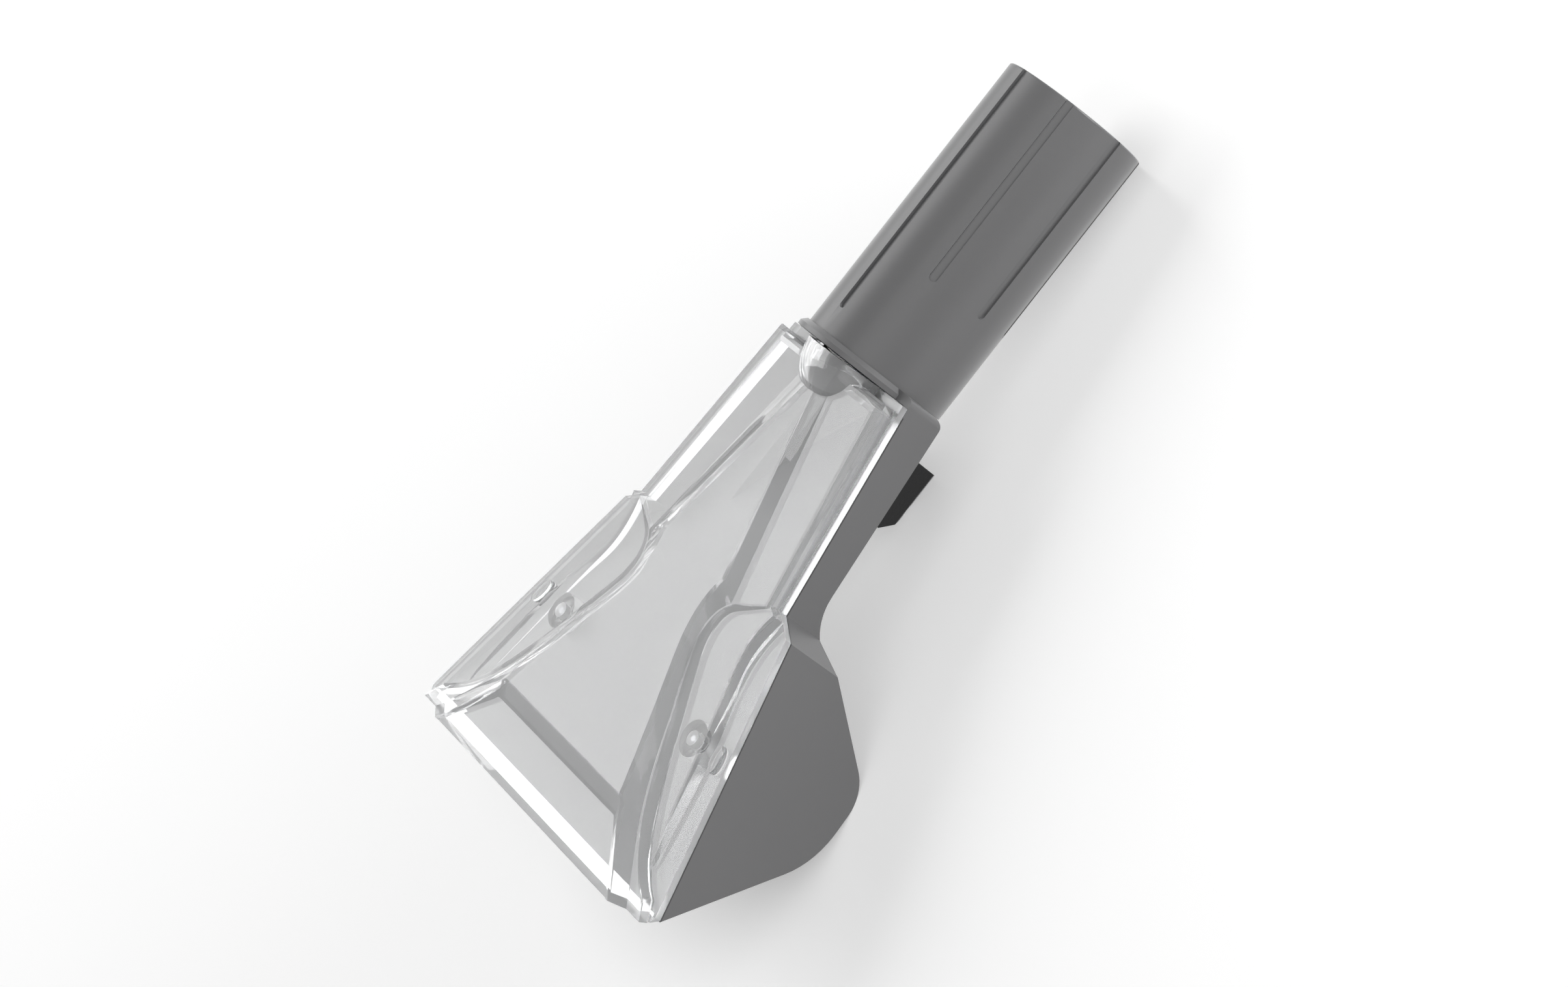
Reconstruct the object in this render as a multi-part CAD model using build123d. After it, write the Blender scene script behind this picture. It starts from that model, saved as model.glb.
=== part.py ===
from build123d import *
from math import asin, atan2, degrees, hypot, radians, sin, sqrt
import os

# Nozzle frame while modelling: X across, Y to the back, Z up the tube's axis, in millimetres.
# The origin is on the tube's axis at its foot. The last section lays everything on its back.

# Tube and its flutes
tube_radius = 17.5
bore_radius = 16.0
tube_length = 69.7
rim_round = 0.45
flute_count = 8
flute_width = 2.0
flute_depth = 0.65
flute_foot = 23.0
front_flute_foot = 7.0
collar_radius = 19.2
collar_height = 2.2
collar_chamfer = 1.1

# Housing: front outline as half-widths at heights, side profile as straight runs with rounds
wall = 2.0
top_half = 23.7
neck_foot_half, neck_foot_z = 31.2, -52.0
shoulder_half, shoulder_z = 37.8, -55.7
flare_half, flare_z = 54.65, -112.6
mouth_half, mouth_z = 56.0, -117.2
top_corner_round = 2.0
joint_y = -5.25
joint_slope = 0.056
neck_back_y = 5.2
partition = 2.0
partition_bend_z = -50.0
partition_edge = (1.9, -116.3)
hood_slope = 0.78
hood_slope_start = (11.8, -54.4)
hood_back_top = (34.9, -72.4)
hood_concave_round = 12.0
hood_apex_round = 9.0
hood_lip_round = 24.0
mouth_slope = 0.9
mouth_point = (0.9, -117.2)
hood_wall = 2.2
hump_foot_z = -42.0
hump_radius = 17.2
hump_room_radius = 15.0

# Clear cover: heights in front of the joint face
sheet = 1.9
flange_height = 1.6
deck_height = 2.9
deck_lean = 0.045
corner_height = 6.1
corner_lean = 0.0255
corner_bevel = 1.1
panel_height = 6.5
cover_gap = 0.1
cover_top_z = -2.3
rim_strip = 2.1
top_slope_run = 2.0
lip_z = -121.0
lip_half = 49.5
lip_height = 4.7
brow_z = -104.0
dome_radius = 15.6
dome_drop = 13.6
pocket_height = 4.6
pocket_top_half, pocket_top_z = 28.6, -107.4
pocket_foot_half, pocket_foot_z = 42.4, -121.0
pocket_rise_run = 2.3

# Cover screws and their bosses
screw_x = 32.0
screw_z = -84.0
boss_radius = 4.2
boss_joint_y = 1.65
thread_radius = 1.75
screw_core = 1.35
screw_seat_y = 5.2
screw_length = 7.0
screw_head_radius = 3.4
screw_head_height = 2.0
pitch = 1.4
driver_hole_radius = 4.6
peg_x = 42.2
peg_radii = (1.5, 3.15)

# Spray coupling and line
line_y = 19.0
block_half = 8.5
block_front_y = 15.0
block_back_y = 25.1
block_top_z = -10.0
block_bevel_z = -22.7
block_foot_z = -26.4
block_foot_y = 20.9
block_chamfer = 1.1
block_wall = 2.3
pocket_depth = 5.0
socket_radius = 2.4
socket_foot_z = -21.0
ring_section = 1.0
pipe_radius = 2.0
pipe_bore = 1.2
pipe_clearance = 0.2
fix_x = 5.6
fix_z = -19.5
fix_radius = 1.25
fix_head_radius = 2.1

# Jet under the hood
post_radius = 8.0
post_foot_z = -70.5
spigot_radius = 5.0
spigot_length = 3.5
holder_flange = 3.0
thread_length = 6.0
holder_thread_radius = 6.0
filter_radius = 3.3
jet_flange_radius = 5.6
nut_radius = 8.0
nut_lip = 1.4
jet_radius = 4.0
tip_length = 3.2
orifice_radius = 0.6
post_root_z = -50.0

# Reach of the bodies that trim and hollow the moulding, past its outline on each side
tool_below = 130.0
tool_side = 70.0
tool_back = 50.0
tool_front = 30.0
chamber_foot_z = -135.0


def half_width(z):
    """Half the housing's width at height z."""
    stops = [(top_half, 0), (neck_foot_half, neck_foot_z), (shoulder_half, shoulder_z),
             (flare_half, flare_z), (mouth_half, mouth_z)]
    for (wide_a, z_a), (wide_b, z_b) in zip(stops, stops[1:]):
        if z >= z_b:
            break
    return wide_a + (wide_b - wide_a) * (z - z_a) / (z_b - z_a)


def joint(z):
    """Y of the joint face at height z."""
    return joint_y - joint_slope * z


def partition_face(z):
    """Y of the partition's front face: flat down the neck, then straight to its edge in the mouth."""
    flat = neck_back_y - partition
    lean = (partition_edge[0] - flat) / (partition_bend_z - partition_edge[1])
    return flat + lean * max(0, partition_bend_z - z)


def mouth(y):
    """Z of the mouth plane at depth y."""
    return mouth_point[1] + mouth_slope * (y - mouth_point[0])


def mirrored(points):
    """Close a right-hand run of points with its mirror image."""
    return points + [(-x, z) for x, z in reversed(points)]


def prism_y(points, y_from, y_to):
    """Front-view polygon drawn out from y_from to y_to."""
    plane = Plane(origin=(0, y_from, 0), x_dir=(1, 0, 0), z_dir=(0, -1, 0))
    return extrude(plane * make_face(Polyline(*points, close=True)), y_from - y_to)


def prism_x(face, half):
    """Side-view face, drawn as (y, z), extended half to each side of the middle."""
    return extrude(Plane.YZ * face, half, both=True)


def rod(x, y, z_from, z_to, radius):
    """Cylinder along Z."""
    return Pos(x, y, (z_from + z_to) / 2) * Cylinder(radius, abs(z_to - z_from))


def pin(x, z, y_from, y_to, radius):
    """Cylinder along Y."""
    return Pos(x, (y_from + y_to) / 2, z) * Rot(90, 0, 0) * Cylinder(radius, abs(y_to - y_from))


def ring(x, y, z, inside, section):
    """Round-section ring about Z, resting with its inside on the given radius."""
    return Pos(x, y, z) * Torus(inside + section / 2, section / 2)


def outline_points(inset, foot_z):
    """Housing outline pulled in by inset, from above the top down to foot_z."""
    right = [(half_width(z) - inset, z) for z in (0, neck_foot_z, shoulder_z, flare_z)]
    right.append((half_width(mouth_z) - inset, mouth_z))
    right.append((half_width(mouth_z) - inset, foot_z))
    return mirrored(right)


def rounded_profile(points, rounds):
    """Closed polygon whose listed corners are rounded."""
    face = make_face(Polyline(*points, close=True))
    for index, radius in rounds:
        corner = Vector(*points[index])
        near = face.vertices().sort_by(lambda v: (Vector(v.X, v.Y) - corner).length)[0]
        face = fillet(near, radius)
    return face


# Housing body: the front outline crossed with the side profile
def upper_slope_y(z):
    return hood_slope_start[0] + (hood_slope_start[1] - z) / hood_slope


def upper_slope_z(y):
    return hood_slope_start[1] - hood_slope * (y - hood_slope_start[0])


hood_top_corner = (hood_back_top[0], upper_slope_z(hood_back_top[0]))
hood_low_y = hood_back_top[0] - 3.4
hood_low_corner = (hood_low_y, mouth(hood_low_y))
joint_foot_y = (joint_y - joint_slope * (mouth_point[1] - mouth_slope * mouth_point[0])) / (
    1 + joint_slope * mouth_slope)
side_points = [
    (joint(0), 0),
    (neck_back_y, 0),
    (neck_back_y, upper_slope_z(neck_back_y)),
    hood_top_corner,
    hood_low_corner,
    (joint_foot_y, mouth(joint_foot_y)),
]
side = rounded_profile(side_points, [(2, hood_concave_round), (3, hood_apex_round), (4, hood_lip_round)])
body = prism_y(outline_points(0, -tool_below), tool_back, -tool_front) & prism_x(side, tool_side)
top_edges = body.edges().filter_by_position(Axis.Z, -0.01, 0.01)
body = fillet(top_edges.sort_by(Axis.Y)[1:], top_corner_round)

# Hump behind the neck: the tube's rear half running on down until it fades into the flat back
hump_slope = (tube_radius - neck_back_y) / hump_foot_z


def hump_cut(inset):
    top_y = tube_radius - inset
    points = [(0, 1), (top_y - hump_slope, 1),
              (neck_back_y - inset + hump_slope * 3, hump_foot_z - 3), (0, hump_foot_z - 3)]
    return prism_x(make_face(Polyline(*points, close=True)), 40)


hump = rod(0, 0, 0, hump_foot_z - 2, hump_radius) & hump_cut(tube_radius - hump_radius)
hump_room = rod(0, 0, -collar_height, hump_foot_z - 2, hump_room_radius) & hump_cut(wall)

# Tube, collar and flutes. The tube's seam is turned to lie between two flutes.
tube = Rot(0, 0, 180 / flute_count) * rod(0, 0, 0, tube_length, tube_radius)
tube = fillet(tube.edges().filter_by_position(Axis.Z, tube_length - 0.01, tube_length + 0.01), rim_round)
collar = chamfer(
    rod(0, 0, -collar_height, 0, collar_radius).edges().filter_by_position(Axis.Z, -0.01, 0.01),
    collar_chamfer,
)
collar &= Pos(0, -30, 0) * Box(60, 60, 60)

flutes = []
for number in range(flute_count):
    foot = front_flute_foot if number == 0 else flute_foot
    height = tube_length + 2 - foot
    shape = Pos(0, foot + height / 2) * Rectangle(flute_width, height)
    shape += Pos(0, foot) * Circle(flute_width / 2)
    cutter = extrude(Plane.XZ * shape, 2)
    flutes.append(Rot(0, 0, 360 / flute_count * number) * Pos(0, -tube_radius + flute_depth, 0) * cutter)

# Pads that carry the coupling and the jet
pad_points = [(4, block_top_z), (block_front_y, block_top_z), (block_front_y, block_foot_z),
              (9.0, block_foot_z - 4), (4, block_foot_z - 4)]
pad = prism_x(make_face(Polyline(*pad_points, close=True)), block_half)
post = rod(0, line_y, post_foot_z, post_root_z, post_radius) & prism_x(side, tool_side)

# Suction channel, open to the front, and the hood's chamber, open at the mouth
channel_top = -collar_height
channel_points = [(-tool_front, channel_top), (partition_face(0), channel_top),
                  (partition_face(partition_bend_z), partition_bend_z),
                  (partition_face(-tool_below), -tool_below), (-tool_front, -tool_below)]
channel = prism_y(outline_points(wall, -tool_below), tool_back, -tool_front)
channel &= prism_x(make_face(Polyline(*channel_points, close=True)), tool_side)
slope_drop = hood_wall * sqrt(1 + hood_slope ** 2)
back_in = hood_wall
chamber_points = [
    (neck_back_y, upper_slope_z(neck_back_y) - slope_drop),
    (hood_top_corner[0] - back_in, upper_slope_z(hood_top_corner[0] - back_in) - slope_drop),
    (hood_low_y - back_in, hood_low_corner[1] - 8),
    (partition_face(chamber_foot_z) + partition, chamber_foot_z),
]
chamber_face = rounded_profile(chamber_points, [(1, hood_apex_round - hood_wall)])
chamber = prism_y(outline_points(wall, chamber_foot_z), tool_back, -tool_front)
chamber &= prism_x(chamber_face, tool_side)

sides = (-1, 1)
housing = body + tube + collar + hump + pad
housing -= chamber
housing += post
housing -= channel
housing -= rod(0, 0, -collar_height, tube_length + 1, bore_radius)
housing -= hump_room
for side_sign in sides:
    housing += pin(side_sign * screw_x, screw_z, boss_joint_y, screw_seat_y, boss_radius)
    housing -= pin(side_sign * screw_x, screw_z, boss_joint_y - 1, screw_seat_y + 1, thread_radius + 0.25)
    housing -= pin(side_sign * screw_x, screw_z, 20, 45, driver_hole_radius)
    housing -= pin(side_sign * fix_x, fix_z, block_front_y - 4.6, block_front_y + 1, fix_radius)
housing -= rod(0, line_y, post_root_z, post_foot_z - 1, pipe_radius + pipe_clearance)
housing -= rod(0, line_y, post_foot_z + spigot_length + 0.1, post_foot_z - 1, spigot_radius)
for cutter in flutes:
    housing -= cutter

# Clear cover: layers drawn on planes parallel to the joint face
joint_face = Plane(origin=(0, joint_y, 0), x_dir=(1, 0, 0), z_dir=(0, -1, -joint_slope))


def level(height, runs, inset=0.0, drop=0.0, lean=0.0):
    """Closed outline on a plane in front of the joint face, which may lean back towards the mouth."""
    edges = []
    for run in runs:
        right = [(x - inset, z - (drop if index == 0 and run is runs[0] else 0))
                 for index, (x, z) in enumerate(run)]
        edges.append(right)
    right_edges = [Line(*run) if len(run) == 2 else Spline(*run) for run in edges]
    left_edges = []
    for run in reversed(edges):
        flipped = [(-x, z) for x, z in reversed(run)]
        left_edges.append(Line(*flipped) if len(flipped) == 2 else Spline(*flipped))
    first, last = edges[0][0], edges[-1][-1]
    foot = Line(last, (-last[0], last[1]))
    head = Line((-first[0], first[1]), first)
    plane = Plane(origin=(0, joint_y - height, 0), x_dir=(1, 0, 0), z_dir=(0, -1, -joint_slope - lean))
    return plane * make_face(right_edges + [foot] + left_edges + [head])


def plate_points():
    heights = (cover_top_z, neck_foot_z, shoulder_z, flare_z, mouth_z + 0.6)
    right = [(half_width(z) - cover_gap, z) for z in heights]
    right += [(54.9, -118.7), (53.2, -120.0), (lip_half, lip_z)]
    return mirrored(right)


plate = extrude(joint_face * make_face(Polyline(*plate_points(), close=True)), flange_height)

# The raised leaf-shaped decks sit between the flange and the middle ridge
deck_foot = [[(24, -50), (34.2, -53.0)],
             [(34.2, -53.0), (34.4, -60), (34.2, -66.5), (38.3, -74), (47.2, -92), (53.5, -111.5)],
             [(53.5, -111.5), (52, -130)]]
deck_edge = [[(24, -50), (32.8, -53.6)],
             [(32.8, -53.6), (31.2, -60.5), (31.6, -66), (33.4, -72), (40.4, -96), (44.2, -107.5)],
             [(44.2, -107.5), (49, -130)]]


def start(inset):
    """Outer bodies start on the joint face; hollows start well behind it."""
    return -8.0 if inset else 0.0


def deck(inset):
    """Raised deck whose height is stated at the screws."""
    height = deck_height - deck_lean * screw_z
    return loft([level(start(inset), deck_foot, inset),
                 level(height - inset, deck_edge, inset, 0, deck_lean)], ruled=True)


# The neck and middle ridge: neck walls with a bevelled corner, a flat shoulder, the raised panel, wing flanks
ridge_top = cover_top_z - rim_strip
ridge_foot = [[(23.1, ridge_top), (30.3, -53.6)],
              [(30.3, -53.6), (23.2, -58.9)],
              [(23.2, -58.9), (20.6, -61.8), (20.3, -65.8), (21.3, -70.4), (24.4, -77.5), (27.8, -85),
               (34.0, -96.5), (40.4, -106), (51.8, -114.8)],
              [(51.8, -114.8), (62, -128)]]
ridge_corner = [[(21.9, ridge_top - 0.6 * top_slope_run), (29.8, -53.0)],
                [(29.8, -53.0), (20.5, -57.1)],
                [(20.5, -57.1), (17.2, -61.0), (16.4, -66.5), (17.9, -71), (21.5, -78.5), (25.3, -86),
                 (31.6, -98), (38.4, -107.2), (51.3, -116.5)],
                [(51.3, -116.5), (62, -130)]]
shoulder_edge = [[(5.0, ridge_top - 0.6 * top_slope_run), (19.4, -57.7)],
                 [(19.4, -57.7), (16.5, -61.4), (15.8, -66.5), (20.8, -78.5), (30.8, -98), (37.2, -107.2)],
                 [(37.2, -107.2), (57, -130)]]
panel_edge = [[(0.6, ridge_top - 1.6 * top_slope_run), (14.0, -54.5)],
              [(14.0, -54.5), (12.9, -60), (13.5, -66.5), (17.6, -77.5), (25.4, -96), (28.3, -103.5)],
              [(28.3, -103.5), (42, -130)]]


def ridge(inset):
    low = corner_height - corner_bevel
    base = loft([level(start(inset), ridge_foot, inset, inset),
                 level(low - inset, ridge_foot, inset, inset, corner_lean)], ruled=True)
    bevel = loft([level(low - inset, ridge_foot, inset, inset, corner_lean),
                  level(corner_height - inset, ridge_corner, inset, inset, corner_lean)], ruled=True)
    top = loft([level(corner_height - inset, shoulder_edge, 0.5 * inset, inset, corner_lean),
                level(panel_height - inset, panel_edge, 0.25 * inset, inset)], ruled=True)
    return base + bevel + top


def dome(inset):
    arc = EllipticalCenterArc((0, cover_top_z), dome_radius - inset, dome_drop - inset, -90, arc_size=90)
    quarter = make_face([arc, Line((dome_radius - inset, cover_top_z), (0, cover_top_z)),
                         Line((0, cover_top_z), (0, cover_top_z - dome_drop + inset))])
    return revolve(Plane.XZ * quarter, Axis.Z)


front_half = joint_face * Pos(0, -60, 50) * Box(200, 200, 100)
behind_mouth = Plane(origin=(0, mouth_point[0], mouth_point[1]), x_dir=(1, 0, 0),
                     z_dir=(0, mouth_slope, -1)) * Pos(0, 0, 50) * Box(200, 200, 100)
below_lip = Pos(0, 0, lip_z - 20) * Box(200, 200, 40)

pocket_spread = (pocket_foot_half - pocket_top_half) / (pocket_top_z - pocket_foot_z)
pocket_low = [(pocket_top_half, pocket_top_z), (pocket_foot_half + 9 * pocket_spread, pocket_foot_z - 9)]
pocket_gain = 4.0
pocket_high = [(pocket_top_half + 2.6, pocket_top_z + pocket_gain * pocket_rise_run),
               (pocket_foot_half + 9 * pocket_spread + 2.6, pocket_foot_z - 9)]


def pocket(lift):
    low = level(pocket_height + lift, [pocket_low])
    high = level(pocket_height + pocket_gain + lift, [pocket_high])
    return loft([low, high], ruled=True)


def brow(lift):
    """What stands in front of the panel's lower part, which leans back down to the lip."""
    fall = (panel_height - lip_height) / (brow_z - lip_z)
    points = [(lift + panel_height + 10, brow_z + 10 / fall), (lift + panel_height - 20 * fall, brow_z - 20),
              (lift + 30, brow_z - 20), (lift + 30, brow_z + 10 / fall)]
    face = make_face(Polyline(*points, close=True))
    across = Plane(origin=(0, joint_y, 0), x_dir=(0, -1, -joint_slope), z_dir=(-1, 0, 0))
    return extrude(across * face, 80, both=True)


outer = (ridge(0) - pocket(0) - brow(0)) + deck(0) + (dome(0) & front_half) + plate
inner = (ridge(sheet) - pocket(-sheet) - brow(-sheet)) + deck(sheet) + dome(sheet)
corner_trim = joint_face * extrude(make_face(Polyline(*plate_points(), close=True)), 20)
clear_cover = (outer & corner_trim) - inner
for side_sign in sides:
    deck_front = joint(screw_z) - deck_height
    clear_cover += pin(side_sign * screw_x, screw_z, boss_joint_y, deck_front + 0.6, boss_radius)
    clear_cover -= pin(side_sign * screw_x, screw_z, boss_joint_y + 1, deck_front + 1.4, thread_radius)
    peg = extrude(Rot(0, 0, side_sign * 17) * Ellipse(*peg_radii), 2.6)
    clear_cover += joint_face * Pos(side_sign * peg_x, screw_z, -0.3) * peg
clear_cover -= behind_mouth


# Fasteners
def tapping_screw(head_radius, head_height, length, outer_radius, core):
    """Pan-head screw along Z, seat at the origin, head above, with a cross recess."""
    count = int((length - 2) / pitch)
    points = [(0, head_height), (head_radius - 0.7, head_height), (head_radius, head_height - 0.8),
              (head_radius, 0), (core, 0)]
    for turn in range(count):
        top = -1.0 - turn * pitch
        points += [(core, top), (outer_radius, top - 0.4), (outer_radius, top - 0.55), (core, top - 0.9)]
    points += [(core, -length + 0.6), (core * 0.5, -length), (0, -length)]
    screw = revolve(Plane.XZ * make_face(Polyline(*points, close=True)), Axis.Z)
    for turn in (0, 90):
        screw -= Pos(0, 0, head_height) * Rot(0, 0, turn) * Box(head_radius * 1.1, 0.7, head_height)
    return screw


cover_screw = tapping_screw(
    screw_head_radius, screw_head_height, screw_length, thread_radius - 0.05, screw_core)
fix_screw = tapping_screw(fix_head_radius, 1.6, 11.5, fix_radius - 0.03, 0.95)
to_front = Rot(-90, 0, 0)

# Spray coupling
block_points = [(block_front_y, block_top_z), (block_back_y, block_top_z), (block_back_y, block_bevel_z),
                (block_foot_y, block_foot_z), (block_front_y, block_foot_z)]
block = prism_x(make_face(Polyline(*block_points, close=True)), block_half)
back_edges = block.edges().filter_by(Axis.Z).sort_by(Axis.Y)[-2:]
block = chamfer(back_edges, block_chamfer)
room_front, room_back = block_front_y + block_wall, block_back_y - block_wall
block -= Pos(0, (room_front + room_back) / 2, block_top_z - pocket_depth / 2) * Box(
    2 * (block_half - block_wall), room_back - room_front, pocket_depth)
room_foot = block_top_z - pocket_depth
socket_y = (room_front + room_back) / 2
block -= rod(0, socket_y, room_foot + 1, socket_foot_z, socket_radius)
ring_z = room_foot - 2.6
block -= rod(0, socket_y, ring_z + 0.6, ring_z - 0.6, socket_radius + ring_section)
block -= rod(0, line_y, socket_foot_z + 1, block_foot_z - 1, pipe_bore)
pipe_top = block_foot_z + 4.0
block -= rod(0, line_y, pipe_top + 0.1, block_foot_z - 1, pipe_radius + 0.05)
seal_z = block_foot_z + 2.2
block -= rod(0, line_y, seal_z + 0.55, seal_z - 0.55, pipe_radius + ring_section)
for side_sign in sides:
    block -= pin(side_sign * fix_x, fix_z, block_front_y - 1, block_back_y + 1, fix_radius + 0.2)
    block -= pin(side_sign * fix_x, fix_z, block_back_y - 2.2, block_back_y + 1, fix_head_radius + 0.25)
spray_coupling = block
socket_o_ring = ring(0, socket_y, ring_z, socket_radius, ring_section)
pipe_o_ring_upper = ring(0, line_y, seal_z, pipe_radius, ring_section)

# Jet holder screwed into the post, with filter, gasket, jet and union nut under it
spigot_top = post_foot_z + spigot_length
pipe_foot = post_foot_z - 1.0
feed_pipe = rod(0, line_y, pipe_top, pipe_foot, pipe_radius)
feed_pipe -= rod(0, line_y, pipe_top + 1, pipe_foot - 1, pipe_bore)
holder_foot = post_foot_z - holder_flange - thread_length
holder = rod(0, line_y, spigot_top, post_foot_z, spigot_radius - 0.05)
holder += Pos(0, line_y, post_foot_z - holder_flange / 2) * extrude(
    RegularPolygon(nut_radius, 6), holder_flange / 2, both=True)
holder += rod(0, line_y, post_foot_z, holder_foot, holder_thread_radius)
holder -= rod(0, line_y, spigot_top + 1, pipe_foot - 0.1, pipe_radius + 0.05)
holder -= rod(0, line_y, spigot_top + 1, spigot_top - 1.2, pipe_radius + ring_section)
holder -= rod(0, line_y, pipe_foot, holder_foot - 1, pipe_bore)
holder -= rod(0, line_y, pipe_foot - 1.6, holder_foot - 1, filter_radius + 0.5)
jet_holder = holder
pipe_o_ring_lower = ring(0, line_y, spigot_top - 0.7, pipe_radius, ring_section)
rim_foot = holder_foot - 0.8
jet_filter = rod(0, line_y, holder_foot, rim_foot, jet_flange_radius)
jet_filter += rod(0, line_y, holder_foot + 6.0, holder_foot, filter_radius)
jet_filter -= rod(0, line_y, holder_foot + 5.2, rim_foot - 1, filter_radius - 0.7)
for row in range(3):
    for turn in range(0, 180, 45):
        jet_filter -= Pos(0, line_y, holder_foot + 1.2 + 1.5 * row) * Rot(0, 0, turn) * Box(9, 0.9, 0.8)
gasket_foot = rim_foot - 0.8
jet_gasket = rod(0, line_y, rim_foot, gasket_foot, jet_flange_radius) - rod(
    0, line_y, rim_foot + 1, gasket_foot - 1, 2.4)
jet_seat = gasket_foot - 1.8
tip_foot = jet_seat - nut_lip - tip_length
fan_jet = rod(0, line_y, gasket_foot, jet_seat, jet_flange_radius)
fan_jet += rod(0, line_y, jet_seat, tip_foot, jet_radius)
fan_jet -= rod(0, line_y, gasket_foot + 1, tip_foot + 1.6, 1.6)
fan_jet -= rod(0, line_y, 0, tip_foot - 1, orifice_radius)
notch = [(-1.3, tip_foot - 0.5), (1.3, tip_foot - 0.5), (0, tip_foot + 1.4)]
fan_jet -= Pos(0, line_y, 0) * prism_x(make_face(Polyline(*notch, close=True)), 10)
nut_top = post_foot_z - holder_flange - 0.3
nut_foot = jet_seat - nut_lip
nut = rod(0, line_y, nut_top, nut_foot, nut_radius)
nut = chamfer(nut.edges().filter_by(GeomType.CIRCLE), 0.6)
nut -= rod(0, line_y, nut_top + 1, jet_seat, holder_thread_radius + 0.05)
nut -= rod(0, line_y, nut_top, nut_foot - 1, jet_radius + 0.1)
for turn in range(12):
    nut -= Pos(0, line_y, 0) * Rot(0, 0, 30 * turn) * rod(nut_radius + 0.5, 0, nut_top + 1, nut_foot - 1, 0.9)
jet_nut = nut

# Rest: on its back, on the hood's rounded apex and the tube's end
up = Vector(hood_top_corner[0] - upper_slope_y(-60), hood_top_corner[1] + 60).normalized()
down = (Vector(*hood_low_corner) - Vector(*hood_top_corner)).normalized()
bisector = (down - up).normalized()
half_angle = (-up).get_angle(down) / 2
centre = Vector(*hood_top_corner) + bisector * (hood_apex_round / sin(radians(half_angle)))
rim_point = Vector(tube_radius, tube_length - rim_round)
span = rim_point - centre
tilt = degrees(atan2(-(span.X), span.Y) + asin(hood_apex_round / span.length))
lay = Rot(-90 - tilt, 0, 0)

nodes = {
    "housing": housing,
    "clear_cover": clear_cover,
    "cover_screw_left": Pos(-screw_x, screw_seat_y, screw_z) * to_front * cover_screw,
    "cover_screw_right": Pos(screw_x, screw_seat_y, screw_z) * to_front * cover_screw,
    "spray_coupling": spray_coupling,
    "coupling_screw_left": Pos(-fix_x, block_back_y - 2.2, fix_z) * to_front * fix_screw,
    "coupling_screw_right": Pos(fix_x, block_back_y - 2.2, fix_z) * to_front * fix_screw,
    "socket_o_ring": socket_o_ring,
    "feed_pipe": feed_pipe,
    "pipe_o_ring_upper": pipe_o_ring_upper,
    "pipe_o_ring_lower": pipe_o_ring_lower,
    "jet_holder": jet_holder,
    "jet_filter": jet_filter,
    "jet_gasket": jet_gasket,
    "fan_jet": fan_jet,
    "jet_nut": jet_nut,
}
laid = {name: lay * shape for name, shape in nodes.items()}
boxes = [shape.bounding_box() for shape in laid.values()]
low = [min(tuple(box.min)[axis] for box in boxes) for axis in range(3)]
high = [max(tuple(box.max)[axis] for box in boxes) for axis in range(3)]
settle = Pos(-(low[0] + high[0]) / 2, -(low[1] + high[1]) / 2, -low[2])
os.makedirs("parts", exist_ok=True)
for name, shape in laid.items():
    export_step(settle * shape, f"parts/{name}.step")
print("tilt", tilt, "shift", settle.position)
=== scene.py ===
import bpy
import bmesh
import math
from mathutils import Matrix, Vector


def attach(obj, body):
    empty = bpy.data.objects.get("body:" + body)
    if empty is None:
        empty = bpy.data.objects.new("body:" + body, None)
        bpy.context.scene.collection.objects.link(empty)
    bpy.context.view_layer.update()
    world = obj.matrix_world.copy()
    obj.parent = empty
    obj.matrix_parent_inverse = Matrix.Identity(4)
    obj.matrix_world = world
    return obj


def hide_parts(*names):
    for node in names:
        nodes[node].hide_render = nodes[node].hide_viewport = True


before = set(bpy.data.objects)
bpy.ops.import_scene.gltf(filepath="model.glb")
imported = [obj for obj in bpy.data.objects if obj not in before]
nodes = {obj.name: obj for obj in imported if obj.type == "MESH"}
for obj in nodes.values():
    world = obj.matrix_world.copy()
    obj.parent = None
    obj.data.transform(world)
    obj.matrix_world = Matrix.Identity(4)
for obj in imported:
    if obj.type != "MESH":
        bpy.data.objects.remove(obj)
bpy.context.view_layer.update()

# Camera: a long lens one metre off, looking down on the nozzle from the side of its right cheek.
# It is rolled so that the tube rises to the upper right of the frame, as in the photograph.
camera_right = Vector((0.468787, 0.540635, -0.698536))
camera_up = Vector((-0.39909, 0.835132, 0.378526))
camera_back = Vector((0.788014, 0.10133, 0.607261))
camera_place = Vector((0.785254, 0.092409, 0.632701))
lens = bpy.data.cameras.new("photo_camera")
lens.lens = 106.4656
lens.sensor_width = 36.0
lens.sensor_fit = "HORIZONTAL"
lens.clip_start = 0.05
camera = bpy.data.objects.new("photo_camera", lens)
camera_turn = Matrix((camera_right, camera_up, camera_back)).transposed().to_4x4()
camera.matrix_world = Matrix.Translation(camera_place) @ camera_turn
bpy.context.scene.collection.objects.link(camera)
bpy.context.scene.camera = camera
bpy.context.scene.view_settings.view_transform = "Standard"

# Floor: one large matt white sheet that keeps the soft shadow.
# Rays from the camera, and those through or off the nozzle, see it a little lighter, so that
# it reads as white.
floor_half = 3.0
floor_seen = 0.33
floor_mirrored = 0.9


def feed(tree, term, socket):
    """Puts a plain value on a socket, or links another node's output to it."""
    if isinstance(term, bpy.types.NodeSocket):
        tree.links.new(term, socket)
    else:
        socket.default_value = term


def math_step(tree, operation, *terms):
    """The result of one Math node; each term is a number or another node's output."""
    step = tree.nodes.new("ShaderNodeMath")
    step.operation = operation
    for socket, term in zip(step.inputs, terms):
        feed(tree, term, socket)
    return step.outputs["Value"]


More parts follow.
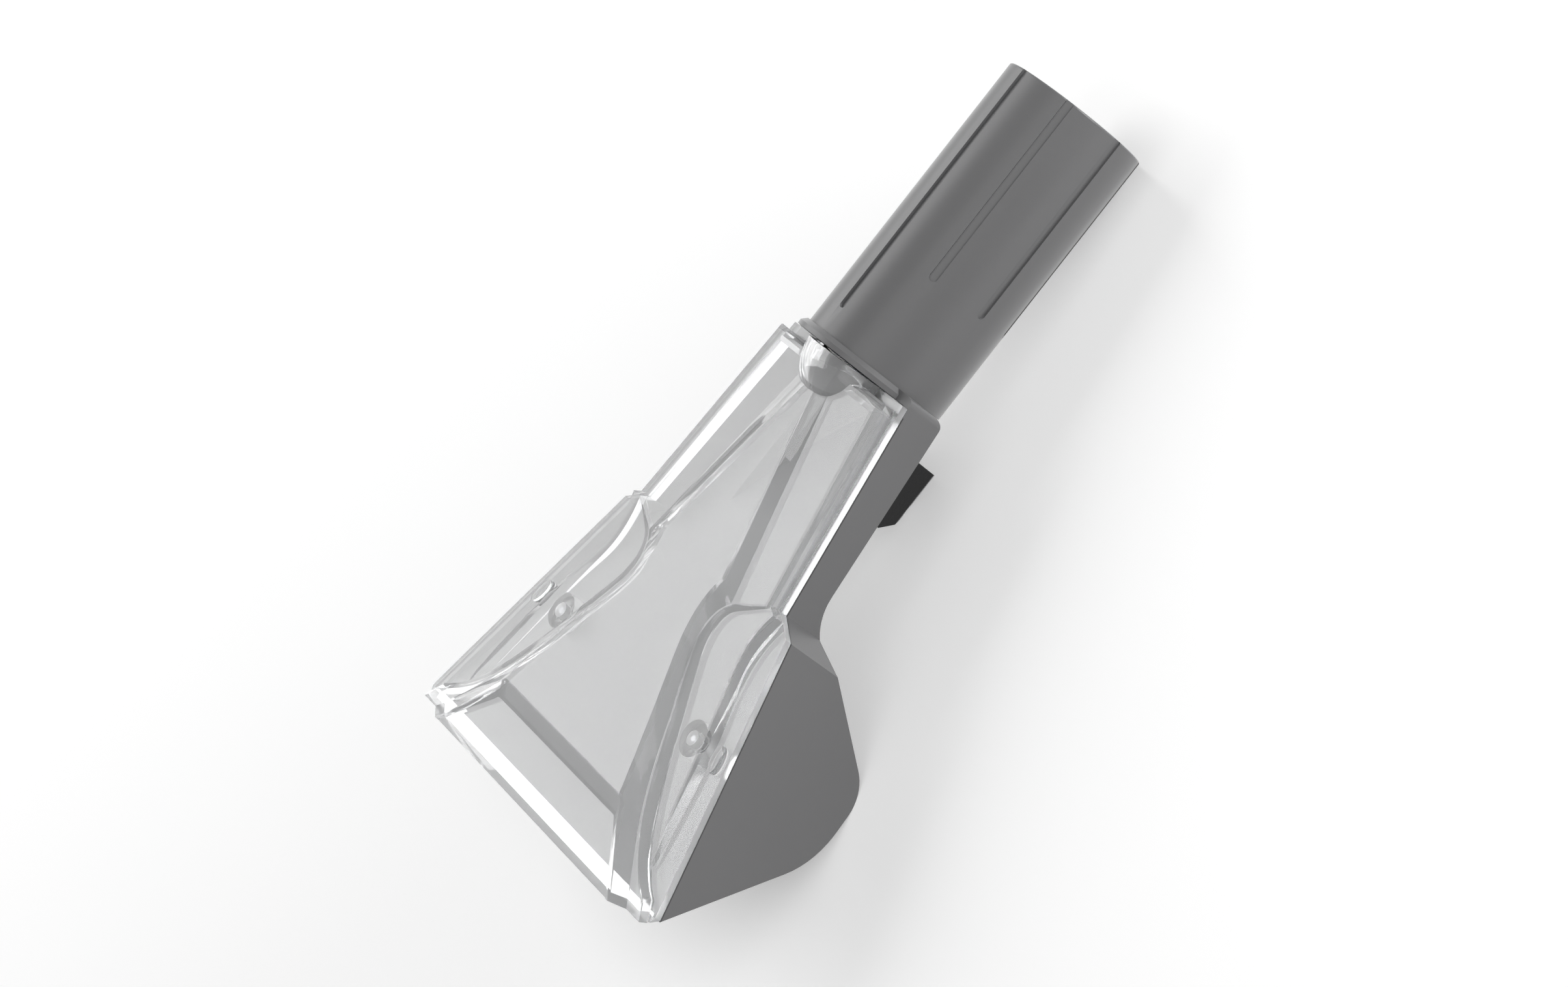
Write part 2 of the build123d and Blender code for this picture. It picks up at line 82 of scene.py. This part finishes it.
def seen_rays(tree, seen, mirrored):
    """What rays get of the background: one amount where it is seen, another where it is mirrored."""
    path = tree.nodes.new("ShaderNodeLightPath")
    direct = path.outputs["Is Camera Ray"]
    through = path.outputs["Is Transmission Ray"]
    shown = math_step(tree, "MULTIPLY", math_step(tree, "MAXIMUM", direct, through), seen)
    reflected = math_step(tree, "MULTIPLY", path.outputs["Is Glossy Ray"], mirrored)
    return math_step(tree, "MAXIMUM", shown, reflected)


floor_mesh = bpy.data.meshes.new("floor")
floor_corners = [(-floor_half, -floor_half, 0), (floor_half, -floor_half, 0),
                 (floor_half, floor_half, 0), (-floor_half, floor_half, 0)]
floor_mesh.from_pydata(floor_corners, [], [(0, 1, 2, 3)])
floor = bpy.data.objects.new("floor", floor_mesh)
bpy.context.scene.collection.objects.link(floor)
floor_paint = bpy.data.materials.new("white_floor")
floor_paint.use_nodes = True
tree = floor_paint.node_tree
tree.nodes.clear()
output = tree.nodes.new("ShaderNodeOutputMaterial")
matt = tree.nodes.new("ShaderNodeBsdfDiffuse")
matt.inputs["Color"].default_value = (0.88, 0.88, 0.88, 1)
glow = tree.nodes.new("ShaderNodeEmission")
tree.links.new(seen_rays(tree, floor_seen, floor_mirrored), glow.inputs["Strength"])
both = tree.nodes.new("ShaderNodeAddShader")
tree.links.new(matt.outputs[0], both.inputs[0])
tree.links.new(glow.outputs[0], both.inputs[1])
tree.links.new(both.outputs[0], output.inputs["Surface"])
floor_mesh.materials.append(floor_paint)

# Light: an even pale surround, a large soft box at the left, one overhead, and a low one off the
# tube's end. Their levels are plain ones, at which a colour renders about as it is written.
world = bpy.data.worlds.new("studio")
bpy.context.scene.world = world
world.use_nodes = True
tree = world.node_tree
tree.nodes.clear()
output = tree.nodes.new("ShaderNodeOutputWorld")
fill = tree.nodes.new("ShaderNodeBackground")
fill.inputs["Strength"].default_value = 0.2
bare = tree.nodes.new("ShaderNodeBackground")
bare.inputs["Strength"].default_value = 1.0
both = tree.nodes.new("ShaderNodeMixShader")
tree.links.new(seen_rays(tree, 1.0, 1.0), both.inputs["Fac"])
tree.links.new(fill.outputs[0], both.inputs[1])
tree.links.new(bare.outputs[0], both.inputs[2])
tree.links.new(both.outputs[0], output.inputs["Surface"])


def soft_box(name, place, aim, width, height, power):
    """A rectangular lamp that looks from its place towards its aim."""
    light = bpy.data.lights.new(name, "AREA")
    light.shape = "RECTANGLE"
    light.size = width
    light.size_y = height
    light.energy = power
    box = bpy.data.objects.new(name, light)
    box.location = place
    box.rotation_euler = (Vector(aim) - Vector(place)).to_track_quat("-Z", "Y").to_euler()
    bpy.context.scene.collection.objects.link(box)


soft_box("left_box", place=(-0.95, -0.04, 0.78), aim=(0, 0, 0.02), width=1.1, height=1.1, power=9.8)
soft_box("top_box", place=(0.6, -0.1, 1.1), aim=(0, 0, 0.02), width=1.2, height=0.9, power=3.2)
soft_box("low_box", place=(0.34, 0.46, 0.12), aim=(0, 0.05, 0.02), width=0.5, height=0.18, power=2.6)

# Housing: one injection moulding in mid-grey ABS with a fine grain and slightly rounded edges.
# The cover lies on its flat joint face; just below it, a thin line of painted shadow darkens the housing.
# The grain is a group, because the other plastic and rubber pieces carry it too.
edge_radius = 0.0003
housing_crease = 24
joint_up = Vector((0, 0.0574, 0.99835))
joint_height = 0.03182
joint_shadow_from = -0.00025
joint_shadow_end_y = 0.0205
joint_shadow_colour = (0.02, 0.02, 0.02, 1)
dome_middle = Vector((0, 0.022, 0.0255))
dome_reach = (0.0115, 0.0159)
dome_crease = 30


def surface_group(name, inputs):
    """A group with these inputs, which puts out a colour, a roughness and a height, and its two ends."""
    group = bpy.data.node_groups.new(name, "ShaderNodeTree")
    for title, kind in inputs.items():
        group.interface.new_socket(title, in_out="INPUT", socket_type=kind)
    group.interface.new_socket("Colour", in_out="OUTPUT", socket_type="NodeSocketColor")
    group.interface.new_socket("Roughness", in_out="OUTPUT", socket_type="NodeSocketFloat")
    group.interface.new_socket("Height", in_out="OUTPUT", socket_type="NodeSocketFloat")
    return group, group.nodes.new("NodeGroupInput"), group.nodes.new("NodeGroupOutput")


def vector_step(tree, operation, *terms):
    """The result of one Vector Math node; each term is a vector or another node's output."""
    step = tree.nodes.new("ShaderNodeVectorMath")
    step.operation = operation
    for socket, term in zip(step.inputs, terms):
        feed(tree, term, socket)
    return step.outputs["Value" if operation in ("DOT_PRODUCT", "LENGTH") else "Vector"]


def noise(tree, scale, detail):
    """Cloudy noise laid over the piece's own place."""
    place = tree.nodes.new("ShaderNodeTexCoord")
    cloud = tree.nodes.new("ShaderNodeTexNoise")
    tree.links.new(place.outputs["Object"], cloud.inputs["Vector"])
    feed(tree, scale, cloud.inputs["Scale"])
    feed(tree, detail, cloud.inputs["Detail"])
    return cloud.outputs["Fac"]


def mixed_colour(tree, share, first, second):
    """A mix of two colours; the Mix node has its colour sockets at inputs 6 and 7 and at output 2."""
    first_colour, second_colour, result_colour = 6, 7, 2
    mix = tree.nodes.new("ShaderNodeMix")
    mix.data_type = "RGBA"
    feed(tree, share, mix.inputs["Factor"])
    feed(tree, first, mix.inputs[first_colour])
    feed(tree, second, mix.inputs[second_colour])
    return mix.outputs[result_colour]


def surfaced(name, group, values, bump_strength, bump_depth):
    """A material that takes its colour, roughness and bump from a group with its own input values."""
    finish = bpy.data.materials.new(name)
    finish.use_nodes = True
    tree = finish.node_tree
    shader = tree.nodes["Principled BSDF"]
    surface = tree.nodes.new("ShaderNodeGroup")
    surface.node_tree = group
    for title, value in values.items():
        surface.inputs[title].default_value = value
    bump = tree.nodes.new("ShaderNodeBump")
    bump.inputs["Strength"].default_value = bump_strength
    bump.inputs["Distance"].default_value = bump_depth
    tree.links.new(surface.outputs["Height"], bump.inputs["Height"])
    tree.links.new(surface.outputs["Colour"], shader.inputs["Base Color"])
    tree.links.new(surface.outputs["Roughness"], shader.inputs["Roughness"])
    tree.links.new(bump.outputs["Normal"], shader.inputs["Normal"])
    return finish


grain, way_in, way_out = surface_group("moulded_grain", {
    "Scale": "NodeSocketFloat", "Depth": "NodeSocketFloat", "Mottle": "NodeSocketFloat",
    "Roughness": "NodeSocketFloat", "Colour": "NodeSocketColor"})
mottle_scale = 38.0
noise_middle = 0.5
roughness_shift = 0.12
fine = noise(grain, way_in.outputs["Scale"], detail=2.0)
broad = noise(grain, mottle_scale, detail=4.0)
shift = math_step(grain, "SUBTRACT", broad, noise_middle)
level = math_step(grain, "MULTIPLY_ADD", shift, way_in.outputs["Mottle"], 1.0)
tint = vector_step(grain, "MULTIPLY", way_in.outputs["Colour"], level)
sheen = math_step(grain, "MULTIPLY_ADD", shift, roughness_shift, way_in.outputs["Roughness"])
height = math_step(grain, "MULTIPLY", fine, way_in.outputs["Depth"])
grain.links.new(tint, way_out.inputs["Colour"])
grain.links.new(sheen, way_out.inputs["Roughness"])
grain.links.new(height, way_out.inputs["Height"])


def grained_plastic(name, colour, roughness, depth, mottle, scale):
    """Moulded plastic or rubber that carries the grain."""
    values = {"Colour": (*colour, 1), "Roughness": roughness, "Depth": depth, "Mottle": mottle,
              "Scale": scale}
    return surfaced(name, grain, values, bump_strength=0.35, bump_depth=0.00025)


def joint_masks(tree, height):
    """Two masks: what lies above a height over the joint face, and which faces look sideways from it."""
    sideways_limit = 0.85
    place = tree.nodes.new("ShaderNodeTexCoord")
    rise = vector_step(tree, "DOT_PRODUCT", place.outputs["Object"], joint_up)
    above = math_step(tree, "GREATER_THAN", rise, joint_height + height)
    facing = vector_step(tree, "DOT_PRODUCT", place.outputs["Normal"], joint_up)
    sideways = math_step(tree, "LESS_THAN", math_step(tree, "ABSOLUTE", facing), sideways_limit)
    return above, sideways


def place_parts(tree):
    """The piece's own place, parted into X, Y and Z."""
    place = tree.nodes.new("ShaderNodeTexCoord")
    parts = tree.nodes.new("ShaderNodeSeparateXYZ")
    tree.links.new(place.outputs["Object"], parts.inputs["Vector"])
    return parts.outputs


def on_dome(edge):
    """Whether an edge lies in the wall of the cover's dome, which reads as round."""
    near, far = dome_reach
    return all(near < (corner.co - dome_middle).length < far for corner in edge.verts)


def softened_copy(node, name, material, crease, lift=0.0):
    """One joined mesh of the solid with rounded edges; its joint face may be lifted off by a hair."""
    join_reach = 4e-6
    on_joint = 5e-6
    flat_angle = math.radians(0.6)
    mesh = nodes[node].data.copy()
    mesh.name = name
    shell = bmesh.new()
    shell.from_mesh(mesh)
    bmesh.ops.remove_doubles(shell, verts=shell.verts, dist=join_reach)
    for corner in shell.verts:
        if abs(corner.co.dot(joint_up) - joint_height) < on_joint:
            corner.co += lift * joint_up
    bmesh.ops.dissolve_limit(shell, angle_limit=flat_angle, verts=shell.verts, edges=shell.edges,
                             delimit={"NORMAL"})
    for face in shell.faces:
        face.smooth = True
    for edge in shell.edges:
        limit = math.radians(dome_crease if on_dome(edge) else crease)
        edge.smooth = not (len(edge.link_faces) == 2 and edge.calc_face_angle(0) > limit)
    shell.to_mesh(mesh)
    shell.free()
    mesh.materials.clear()
    mesh.materials.append(material)
    piece = bpy.data.objects.new(name, mesh)
    bpy.context.scene.collection.objects.link(piece)
    soften = piece.modifiers.new("soft_edges", "BEVEL")
    soften.width = edge_radius
    soften.segments = 2
    soften.limit_method = "ANGLE"
    soften.angle_limit = math.radians(crease)
    even = piece.modifiers.new("even_faces", "WEIGHTED_NORMAL")
    even.mode = "FACE_AREA"
    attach(piece, "root")
    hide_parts(node)


grey = grained_plastic("grey_moulding", colour=(0.122, 0.122, 0.124), roughness=0.34, depth=0.12,
                       mottle=0.06, scale=2600.0)
tree = grey.node_tree
paint = tree.nodes["Principled BSDF"].inputs["Base Color"]
# Painted shadow: the housing's side faces a hair below the joint face, up to the collar, turn near black,
# for the shaded gap where the cover meets it.
near, sideways = joint_masks(tree, joint_shadow_from)
below_collar = math_step(tree, "LESS_THAN", place_parts(tree)["Y"], joint_shadow_end_y)
shadow_band = math_step(tree, "MULTIPLY", near, sideways)
joint_shadow_mask = math_step(tree, "MULTIPLY", shadow_band, below_collar)
tree.links.new(mixed_colour(tree, joint_shadow_mask, paint.links[0].from_socket, joint_shadow_colour), paint)
softened_copy("housing", "housing_part", grey, housing_crease)

# Clear cover: one moulding in polished transparent copolyester, screwed over the suction channel.
# Its rounded edges give the bright outlines; its rim along the joint and its screw holes are frosted.
# It is lifted off the joint face by a hair, so that light meets an air gap there.
cover_crease = 8
cover_lift = 0.00006
rim_height = 0.0019
screw_axis = Vector((0, 0.1132, 0.9936))
screw_place = Vector((0.032, -0.0592, 0.0347))
hole_reach = 0.0021
polished_roughness = 0.03
frosting = 0.4
clear = bpy.data.materials.new("clear_copolyester")
clear.use_nodes = True
tree = clear.node_tree
shader = tree.nodes["Principled BSDF"]
shader.inputs["Base Color"].default_value = (0.97, 0.975, 0.98, 1)
shader.inputs["IOR"].default_value = 1.5
shader.inputs["Transmission Weight"].default_value = 0.83
above, sideways = joint_masks(tree, rim_height)
parts = place_parts(tree)
folded = tree.nodes.new("ShaderNodeCombineXYZ")
tree.links.new(math_step(tree, "ABSOLUTE", parts["X"]), folded.inputs["X"])
tree.links.new(parts["Y"], folded.inputs["Y"])
tree.links.new(parts["Z"], folded.inputs["Z"])
arm = vector_step(tree, "SUBTRACT", folded.outputs["Vector"], screw_place)
off_axis = vector_step(tree, "LENGTH", vector_step(tree, "CROSS_PRODUCT", arm, screw_axis))
hole = math_step(tree, "LESS_THAN", off_axis, hole_reach)
rim = math_step(tree, "MAXIMUM", hole, sideways)
low_rim = math_step(tree, "MULTIPLY", rim, math_step(tree, "SUBTRACT", 1.0, above))
frost = math_step(tree, "MULTIPLY_ADD", low_rim, frosting, polished_roughness)
tree.links.new(frost, shader.inputs["Roughness"])
softened_copy("clear_cover", "clear_cover_part", clear, cover_crease, cover_lift)

# Screws: zinc-plated tapping screws, two driven from behind into the cover's blind bosses and two
# through the coupling into its pad. Rolling leaves fine rings, and plating leaves cloudy patches.
# The group is shared with the brass jet.
metal, way_in, way_out = surface_group("worked_metal", {
    "Ring Scale": "NodeSocketFloat", "Axis": "NodeSocketVector", "Bright": "NodeSocketColor",
    "Dull": "NodeSocketColor"})
cloud_scale = 350.0
least_roughness = 0.2
roughness_range = 0.2


def waves(tree, place, direction, scale):
    """Even waves that follow one another along one direction of a place."""
    wave = tree.nodes.new("ShaderNodeTexWave")
    wave.wave_type = "BANDS"
    wave.bands_direction = direction
    tree.links.new(place, wave.inputs["Vector"])
    feed(tree, scale, wave.inputs["Scale"])
    return wave.outputs["Fac"]


cloud = noise(metal, cloud_scale, detail=5.0)
place = metal.nodes.new("ShaderNodeTexCoord")
along = vector_step(metal, "DOT_PRODUCT", place.outputs["Object"], way_in.outputs["Axis"])
rings = waves(metal, along, "X", way_in.outputs["Ring Scale"])
colour = mixed_colour(metal, cloud, way_in.outputs["Bright"], way_in.outputs["Dull"])
haze = math_step(metal, "MULTIPLY_ADD", cloud, roughness_range, least_roughness)
metal.links.new(colour, way_out.inputs["Colour"])
metal.links.new(haze, way_out.inputs["Roughness"])
metal.links.new(rings, way_out.inputs["Height"])


def worked_metal(name, bright, dull, axis, ring_scale):
    """Turned, rolled or plated metal whose fine rings run round the given axis."""
    values = {"Bright": (*bright, 1), "Dull": (*dull, 1), "Axis": axis, "Ring Scale": ring_scale}
    finish = surfaced(name, metal, values, bump_strength=0.4, bump_depth=0.00003)
    finish.node_tree.nodes["Principled BSDF"].inputs["Metallic"].default_value = 1.0
    return finish


zinc = worked_metal("zinc_plated_steel", bright=(0.68, 0.69, 0.7), dull=(0.5, 0.51, 0.54), axis=(0, 0, 1),
                    ring_scale=1400.0)
for node in ("cover_screw_left", "cover_screw_right", "coupling_screw_left", "coupling_screw_right"):
    nodes[node].data.materials[0] = zinc

# Spray coupling, jet holder and jet nut: black glass-filled nylon mouldings.
# The glass gives a coarser, duller and more mottled grain than the housing's.
black = grained_plastic("black_moulding", colour=(0.009, 0.009, 0.0095), roughness=0.5, depth=0.5,
                        mottle=0.35, scale=1900.0)
black.node_tree.nodes["Principled BSDF"].inputs["Specular IOR Level"].default_value = 0.25
for node in ("spray_coupling", "jet_holder", "jet_nut"):
    nodes[node].data.materials[0] = black

# Rings and gasket: moulded black nitrile rubber, dull, with a faint pale bloom.
# They seal the coupling's socket, both ends of the feed pipe and the jet.
rubber = grained_plastic("black_rubber", colour=(0.02, 0.02, 0.021), roughness=0.62, depth=0.8,
                         mottle=0.9, scale=5200.0)
for node in ("socket_o_ring", "pipe_o_ring_upper", "pipe_o_ring_lower", "jet_gasket"):
    nodes[node].data.materials[0] = rubber

# Feed pipe: extruded milky polyamide, smooth, pushed into its two sealed sockets.
# A little light passes into its wall, and the drawing leaves it slightly uneven.
milky = grained_plastic("milky_pipe", colour=(0.74, 0.755, 0.74), roughness=0.2, depth=0.15,
                        mottle=0.08, scale=900.0)
shader = milky.node_tree.nodes["Principled BSDF"]
shader.inputs["Subsurface Weight"].default_value = 0.25
shader.inputs["Subsurface Radius"].default_value = (0.0012, 0.0012, 0.0011)
nodes["feed_pipe"].data.materials[0] = milky

# Fan jet: turned brass spray tip, held in the nut under the hood.
# The lathe leaves fine rings, and the brass has dulled in patches.
brass = worked_metal("turned_brass", bright=(0.78, 0.58, 0.27), dull=(0.55, 0.4, 0.19), axis=(0, 1, 0),
                     ring_scale=1800.0)
nodes["fan_jet"].data.materials[0] = brass

# Jet filter: a small strainer thimble of woven stainless wire, ahead of the jet.
# The weave is two crossed waves: proud wires, and the holes between them painted near black as painted
# shade.
wire_scale = 520.0
hole_roughness = 0.6
wire_roughness = 0.28
weave = bpy.data.materials.new("woven_steel")
weave.use_nodes = True
tree = weave.node_tree
shader = tree.nodes["Principled BSDF"]
shader.inputs["Metallic"].default_value = 1.0
place = tree.nodes.new("ShaderNodeTexCoord")
across_wires = waves(tree, place.outputs["Object"], "X", wire_scale)
along_wires = waves(tree, place.outputs["Object"], "Y", wire_scale)
proud = math_step(tree, "MAXIMUM", across_wires, along_wires)
shade = tree.nodes.new("ShaderNodeValToRGB")
# The holes' near-black colour is painted shade, not the wire's own colour.
hole_painted_shade, bright_wire = shade.color_ramp.elements
hole_painted_shade.position = 0.25
hole_painted_shade.color = (0.05, 0.05, 0.05, 1)
bright_wire.position = 0.6
bright_wire.color = (0.62, 0.63, 0.64, 1)
tree.links.new(proud, shade.inputs["Fac"])
tree.links.new(shade.outputs["Color"], shader.inputs["Base Color"])
dull = tree.nodes.new("ShaderNodeMapRange")
dull.inputs["To Min"].default_value = hole_roughness
dull.inputs["To Max"].default_value = wire_roughness
tree.links.new(proud, dull.inputs["Value"])
tree.links.new(dull.outputs["Result"], shader.inputs["Roughness"])
bump = tree.nodes.new("ShaderNodeBump")
bump.inputs["Strength"].default_value = 0.8
bump.inputs["Distance"].default_value = 0.0001
tree.links.new(proud, bump.inputs["Height"])
tree.links.new(bump.outputs["Normal"], shader.inputs["Normal"])
nodes["jet_filter"].data.materials[0] = weave
